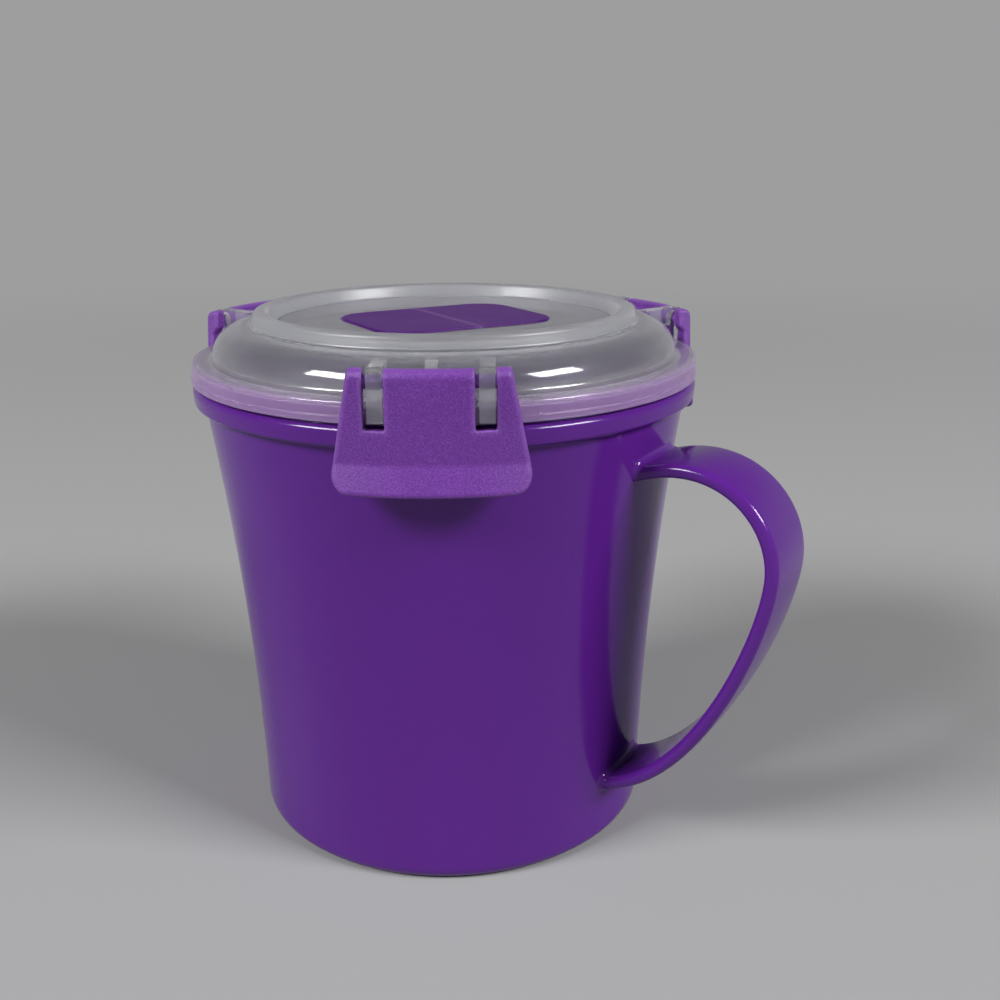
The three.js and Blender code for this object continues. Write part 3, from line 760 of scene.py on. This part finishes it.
clip = {
    "inside": 61.6, "outside": 64.0, "lean": 0.8,  # the faces lean in by this much down to the lip
    "top": 122.55, "bottom": 96.95, "topWidth": 31.6, "bottomWidth": 41.3, "corner": 4.2, "topCorner": 1.0,
    "topRound": 2.0, "barrelInside": 60.4, "barrelBottom": 118.35, "barrelRound": 0.5,
    "standoff": 1.6, "standoffRound": 0.8,
    "catchTop": 105.2, "catchHeight": 1.2, "catchSlope": 1.3, "catchReach": 60.3,
    "catchTopRound": 0.2, "catchFootRound": 0.4, "ridgeTopRound": 0.3, "ridgeFootRound": 1.0,
    "lipTop": 103.55, "lipFlare": 1.8, "lipThickness": 2.4, "lipBlend": 3.0, "lipRound": 1.1,
    "slotOffset": lug["offset"], "slotWidth": 4.1, "slotFloor": 110.45, "slotEdge": 0.3, "slotCorner": 0.4,
    "edge": 0.8, "pinRadius": 1.4, "pinLength": 28.4, "pinEdge": 0.3, "sectionSteps": 6, "frontSteps": 8,
    "voxel": 0.2, "margin": 1.0, "rounds": 2, "probe": 0.02, "leastSlope": 0.25, "rimFade": 1.1,
}
clipLook = {
    # deep to light: cloudy tone and painted glints; the third colour is a painted highlight along the rims
    "deep": (0.080, 0.012, 0.176, 1), "light": (0.166, 0.046, 0.316, 1), "worn": (0.26, 0.12, 0.42, 1),
    "grains": (0.40, 0.68), "grainShare": 0.7, "cloudShare": 0.3,  # what lightens the colour: painted glints of the grain and cloudy tone
    # shares of the painted rim highlight, plain and with the glints
    "rimPlain": 0.15, "rimSparkle": 0.5, "smooth": 0.38, "grainy": 0.2,
    "grainRelief": 0.7, "pitRelief": 0.5, "specular": 0.4,
}


def clipPlastic():  # spark-eroded grain: fine pits whose edges catch the light, painted in as paler specks, and a painted highlight along the rims
    f, look = newFinish("clipPlastic"), clipLook
    grain = f.noise(scale=2900, detail=4, roughness=0.75)
    pits = f.add("ShaderNodeTexVoronoi", {"feature": "F1"}, {"Vector": f.spot(), "Scale": 2600}, "Distance")
    clouds = f.noise(scale=90, detail=2)
    relief = grain * look["grainRelief"] + pits * look["pitRelief"]
    # paler specks painted for the grain's glints, with some cloudy tone
    sparkle = f.span(grain, *look["grains"]) * look["grainShare"] + clouds * look["cloudShare"]
    rim = f.add("ShaderNodeAttribute", {"attribute_name": "rim"}, output="Fac")
    # painted highlight along the rims, masked by the rim attribute
    worn = rim * (look["rimPlain"] + sparkle * look["rimSparkle"])
    return f.end(f.surface({
        "Base Color": f.between(f.between(look["deep"], look["light"], sparkle), look["worn"], worn),
        "Roughness": look["smooth"] + grain * look["grainy"],
        "Normal": f.bump(relief, depth=0.00012, strength=0.6),
        "IOR": plasticIor,
        "Specular IOR Level": look["specular"],
    }))


def polygonDistance(x, y, points):  # signed distance to a closed outline, negative inside
    shape = np.broadcast(x, y).shape
    nearest, inside = np.full(shape, np.inf), np.zeros(shape, bool)
    for a, b in zip(points, np.roll(points, -1, 0)):
        run = b - a
        t = np.clip(((x - a[0]) * run[0] + (y - a[1]) * run[1]) / (run @ run), 0, 1)
        nearest = np.minimum(nearest, np.hypot(x - a[0] - t * run[0], y - a[1] - t * run[1]))
        if run[1] != 0:
            inside ^= ((a[1] > y) != (b[1] > y)) & (x < run[0] * (y - a[1]) / run[1] + a[0])
    return np.where(inside, -nearest, nearest)


def roundMeet(a, b, radius):  # the overlap of two distance fields, with a rounded edge where they meet
    corner = np.hypot(np.maximum(a + radius, 0), np.maximum(b + radius, 0))
    return np.minimum(np.maximum(a, b), -radius) + corner


def clipSection():  # outline in radius and height: barrel on top, catch ridge inside, flared lip below
    c = clip
    leanTop = c["barrelBottom"] - c["standoff"]
    inside = lambda z: c["inside"] - c["lean"] * (leanTop - z) / (leanTop - c["lipTop"])
    lipRoot = c["outside"] - c["lean"]
    tip = lipRoot + c["lipFlare"]
    catchFoot = c["catchTop"] - c["catchHeight"]
    ridgeTop, ridgeFoot = c["catchTop"] + c["catchSlope"], catchFoot - c["catchSlope"]
    corners = [
        (tip - c["lipThickness"], c["bottom"], c["lipRound"]), (tip, c["bottom"], c["lipRound"]),
        (lipRoot, c["lipTop"], c["lipBlend"]), (c["outside"], c["top"], c["topRound"]),
        (c["barrelInside"], c["top"], c["barrelRound"]),
        (c["barrelInside"], c["barrelBottom"], c["barrelRound"]),
        (c["inside"], leanTop, c["standoffRound"]), (inside(ridgeTop), ridgeTop, c["ridgeTopRound"]),
        (c["catchReach"], c["catchTop"], c["catchTopRound"]),
        (c["catchReach"], catchFoot, c["catchFootRound"]),
        (inside(ridgeFoot), ridgeFoot, c["ridgeFootRound"])]
    return softened(corners, True, c["sectionSteps"])


def clipFront():  # outline across and up: tapered sides and round lower corners
    top, bottom = clip["topWidth"] / 2, clip["bottomWidth"] / 2
    corners = [(-bottom, clip["bottom"], clip["corner"]), (bottom, clip["bottom"], clip["corner"]),
               (top, clip["top"], clip["topCorner"]), (-top, clip["top"], clip["topCorner"])]
    return softened(corners, True, clip["frontSteps"])


def slotSides(y):  # distance from the sides of the nearer slot, negative between them
    return np.abs(np.abs(y) - clip["slotOffset"]) - clip["slotWidth"] / 2


def clipField(x, y, z, section):
    # signed distance to the clip at azimuth 0: the section bent round the cup, met by the front outline
    # with a rounded edge, cut by the two slots and joined by the straight hinge pin
    c = clip
    field = roundMeet(section, polygonDistance(y, z, clipFront()), c["edge"])
    slot = roundMeet(slotSides(y), c["slotFloor"] - z, c["slotCorner"])
    field = roundMeet(field, -slot, c["slotEdge"])
    pin = np.hypot(x - lug["hingeRadius"], z - lug["hingeHeight"]) - c["pinRadius"]
    return np.minimum(field, roundMeet(pin, np.abs(y) - c["pinLength"] / 2, c["pinEdge"]))


def sectionField(points):  # the section's distance at points, by their radius and height
    return polygonDistance(np.hypot(points[:, 0], points[:, 1]), points[:, 2], clipSection())


def clipSurface():  # zero surface of the field, found on a fine grid and then drawn onto the exact field
    c, step, margin = clip, clip["voxel"], clip["margin"]
    half = c["bottomWidth"] / 2 + margin
    low = np.array([np.sqrt(c["catchReach"] ** 2 - half ** 2) - margin, -half, c["bottom"] - margin])
    high = np.array([c["outside"] + c["lipFlare"] + margin, half, c["top"] + margin])
    x, y, z = np.meshgrid(*[np.arange(a, b, step) for a, b in zip(low, high)], indexing="ij", sparse=True)
    radius = np.hypot(x, y)[..., 0]
    radii = np.arange(radius.min() - step, radius.max() + 2 * step, step / 2)
    table = polygonDistance(radii[:, None], z[0], clipSection())  # the section's field by radius and height
    at = (radius - radii[0]) / (radii[1] - radii[0])
    part = (at - np.floor(at))[..., None]
    section = table[at.astype(int)] * (1 - part) + table[at.astype(int) + 1] * part
    grid = openvdb.FloatGrid(2 * step)
    grid.copyFromArray(clipField(x, y, z, section).astype(np.float32))
    points, quads = grid.convertToQuads(0)
    points = np.asarray(points, float) * step + low
    exact = lambda p: clipField(*p.T, sectionField(p))
    for turn in range(c["rounds"]):
        value = exact(points)
        slope = np.stack([exact(points + d) - value for d in c["probe"] * np.eye(3)], -1) / c["probe"]
        steepness = np.maximum((slope ** 2).sum(1), c["leastSlope"])
        points -= (np.clip(value, -step, step) / steepness)[:, None] * slope
    return points, quads


def clipRims(points):  # 1 along the edges of the clip and of its slots, fading to 0 within rimFade: the mask of the painted highlight
    y, z = points[:, 1], points[:, 2]
    fromFace = -sectionField(points)
    fromSlot = np.abs(np.maximum(slotSides(y), clip["slotFloor"] - z))
    fromSide = np.minimum(-polygonDistance(y, z, clipFront()), fromSlot)
    return np.clip(1 - np.maximum(fromFace, fromSide) / clip["rimFade"], 0, 1)


def makeClips():
    material = clipPlastic()
    points, quads = clipSurface()
    for name, azimuth in clipAzimuths.items():
        first, *rest = name.split("_")
        piece = makePiece(first + "".join(rest).title(), [(turnAbout(points, azimuth), quads)])
        spots = np.empty(3 * len(piece.data.vertices))
        piece.data.vertices.foreach_get("co", spots)
        rims = clipRims(turnAbout(spots.reshape(-1, 3) / mm, -azimuth))
        # the rim attribute is the mask of the painted highlight along the edges
        piece.data.attributes.new("rim", "FLOAT", "POINT").data.foreach_set("value", rims)
        fitPiece(piece, name, name, material)
    print("clips:", len(quads), "faces each")


# Floor, world and lamps

studio = {
    "pale": (0.34, 0.34, 0.344, 1), "dusk": (0.09, 0.09, 0.094, 1),  # background low down and overhead
    "duskStart": 0.12, "duskEnd": 0.55,  # sine of the height above level
    "floorColour": (0.29, 0.29, 0.293, 1), "floorSides": 96,
    "floorRadius": 8.0, "fadeStart": 0.25, "fadeEnd": 1.2,  # metres
    "lamps": {"lampLeft": (-62, 35, 102), "lampRight": (60, 35, 102)},
    # each lamp's turn from the camera's side and rise above level in degrees, and its power in watts
    "lampDistance": 3.0, "lampWidth": 1.2, "lampHeight": 0.75, "lampAim": 0.08,  # metres
}


def makeFloor():  # pale disc that fades into the background
    angle = np.linspace(0, 2 * np.pi, studio["floorSides"], endpoint=False)
    ring = np.stack([np.cos(angle), np.sin(angle), 0 * angle], -1) * studio["floorRadius"] / mm
    floor = makePiece("floor", [(ring, [list(range(len(angle)))])])
    f = newFinish("floor")
    paper = f.add("ShaderNodeBsdfDiffuse", None, {"Color": studio["floorColour"]})
    glow = f.add("ShaderNodeEmission", None, {"Color": studio["pale"]})
    far = f.span(f.length(f.spot()), studio["fadeStart"], studio["fadeEnd"])
    floor.data.materials.append(f.end(f.add("ShaderNodeMixShader", None, {0: far, 1: paper, 2: glow})))


def makeWorld():  # pale at the horizon, dusky overhead
    f = Finish(bpy.data.worlds.new("studio"))
    height = f.part(f.add("ShaderNodeTexCoord", output="Generated"), "Z")
    overhead = f.span(height, studio["duskStart"], studio["duskEnd"])
    sky = f.add("ShaderNodeBackground", None, {"Color": f.between(studio["pale"], studio["dusk"], overhead)})
    bpy.context.scene.world = f.end(sky, "ShaderNodeOutputWorld")


def makeLamps():  # soft boxes that face the mug
    front = np.degrees(np.arctan2(viewpoint["place"][1], viewpoint["place"][0]))
    for name, (turn, rise, power) in studio["lamps"].items():
        azimuth, rise = np.radians(front + turn), np.radians(rise)
        way = Vector((np.cos(azimuth) * np.cos(rise), np.sin(azimuth) * np.cos(rise), np.sin(rise)))
        light = bpy.data.lights.new(name, "AREA")
        light.shape, light.energy = "RECTANGLE", power
        light.size, light.size_y = studio["lampWidth"], studio["lampHeight"]
        lamp = bpy.data.objects.new(name, light)
        spot = way * studio["lampDistance"] + Vector((0, 0, studio["lampAim"]))
        lamp.matrix_world = Matrix.Translation(spot) @ way.to_track_quat("Z", "Y").to_matrix().to_4x4()
        lamp.visible_camera = False
        bpy.context.scene.collection.objects.link(lamp)
    print("studio:", len(studio["lamps"]), "lamps")


setCamera()
makeCup()
makeLid()
makeSeal()
makeVent()
makeClips()
makeFloor()
makeWorld()
makeLamps()
bpy.context.scene.view_settings.view_transform = "Standard"
